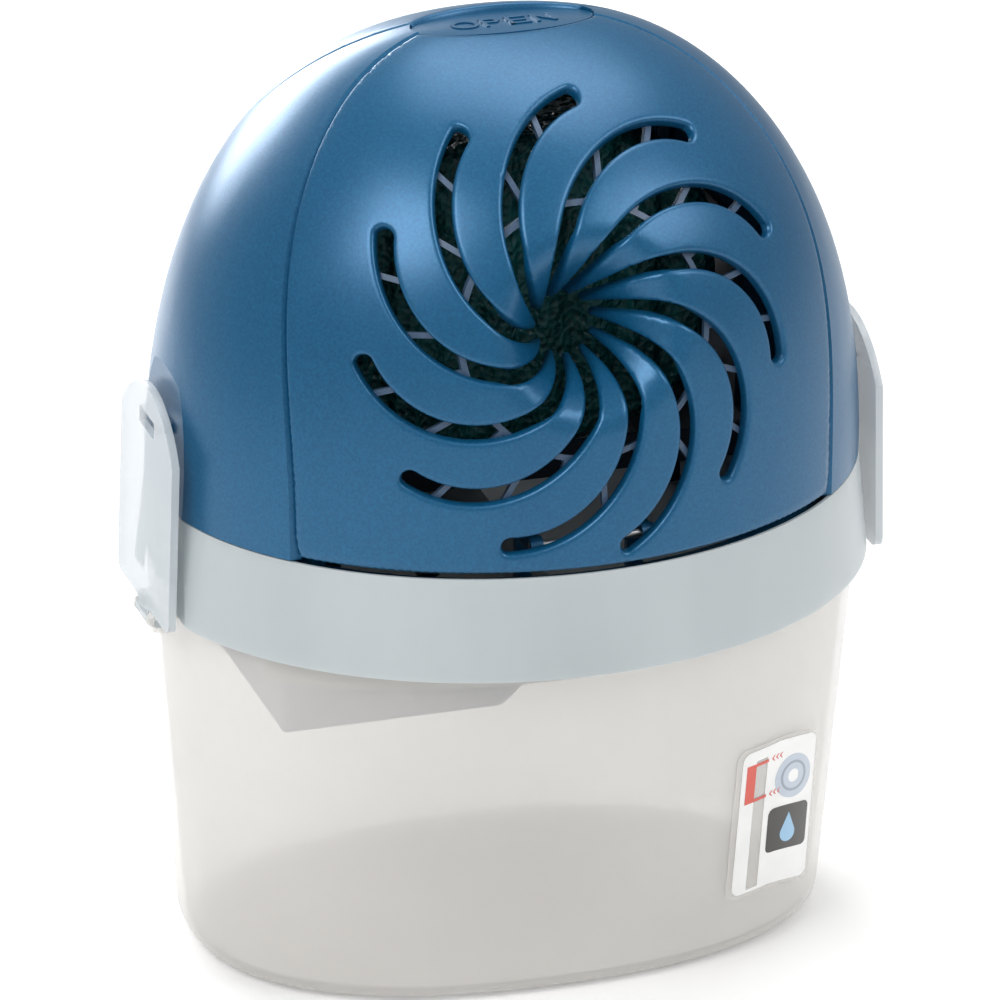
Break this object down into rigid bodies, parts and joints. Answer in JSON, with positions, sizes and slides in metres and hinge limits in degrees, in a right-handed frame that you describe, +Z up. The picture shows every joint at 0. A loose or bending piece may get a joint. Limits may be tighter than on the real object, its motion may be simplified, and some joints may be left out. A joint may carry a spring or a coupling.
{
  "type": "moisture absorber dehumidifier",
  "caption": "Oval tabletop moisture absorber: domed housing with swirl air slots over a clipped-on water tank, with a tilting front cover, side clips and a push button.",
  "frame": {"origin": "middle of the tank's flat base, on the surface that the object stands on", "axes": "+Z up, front cover faces -Y, +X to the right seen from the front"},
  "size_m": [0.1836, 0.1528, 0.2329],
  "materials": {
    "housing_blue": "satin",
    "collar_grey": "satin",
    "tank_frosted": "frosted",
    "clip_clear": "frosted",
    "label_film": "gloss",
    "gasket_rubber": "matte",
    "tray_grey": "satin",
    "chute_blue": "satin",
    "guard_blue": "satin",
    "cradle_navy": "satin",
    "tab_teal": "crystalline",
    "steel": "bright"
  },
  "bodies": {
    "tank_unit": {"water_tank": "tank_frosted", "level_label": "label_film", "clip_pin_left": "collar_grey", "clip_pin_right": "collar_grey"},
    "upper_unit": {"collar_ring": "collar_grey", "rim_gasket": "gasket_rubber", "drip_tray": "tray_grey", "drain_chute": "chute_blue", "arch_frame": "housing_blue", "frame_screws": "steel", "back_cover": "housing_blue", "rear_guard": "guard_blue", "cover_hinge_pins": "steel", "button_spring": "steel", "tab_cradle": "cradle_navy", "moisture_tab": "tab_teal"},
    "front_cover": {"front_cover": "housing_blue", "front_guard": "guard_blue"},
    "open_button": {"open_button": "housing_blue", "button_latch": "cradle_navy"},
    "left_clip": {"clip_left": "clip_clear"},
    "right_clip": {"clip_right": "clip_clear"}
  },
  "joints": [
    {"name": "upper_unit_lift", "type": "slide", "parent": "tank_unit", "child": "upper_unit", "axis": [0, 0, 1], "range_m": [0, 0.06]},
    {"name": "front_cover_tilt", "type": "hinge", "parent": "upper_unit", "child": "front_cover", "pos_m": [0, -0.067, 0.126], "axis": [1, 0, 0], "range_deg": [0, 75]},
    {"name": "open_button_press", "type": "slide", "parent": "upper_unit", "child": "open_button", "axis": [0, 0, -1], "range_m": [0, 0.0018], "stiffness_N_per_m": 600, "springref_m": -0.0006},
    {"name": "left_clip_swing", "type": "hinge", "parent": "tank_unit", "child": "left_clip", "pos_m": [-0.0895, 0, 0.09], "axis": [0, -1, 0], "range_deg": [0, 110]},
    {"name": "right_clip_swing", "type": "hinge", "parent": "tank_unit", "child": "right_clip", "pos_m": [0.0895, 0, 0.09], "axis": [0, 1, 0], "range_deg": [0, 110]}
  ]
}
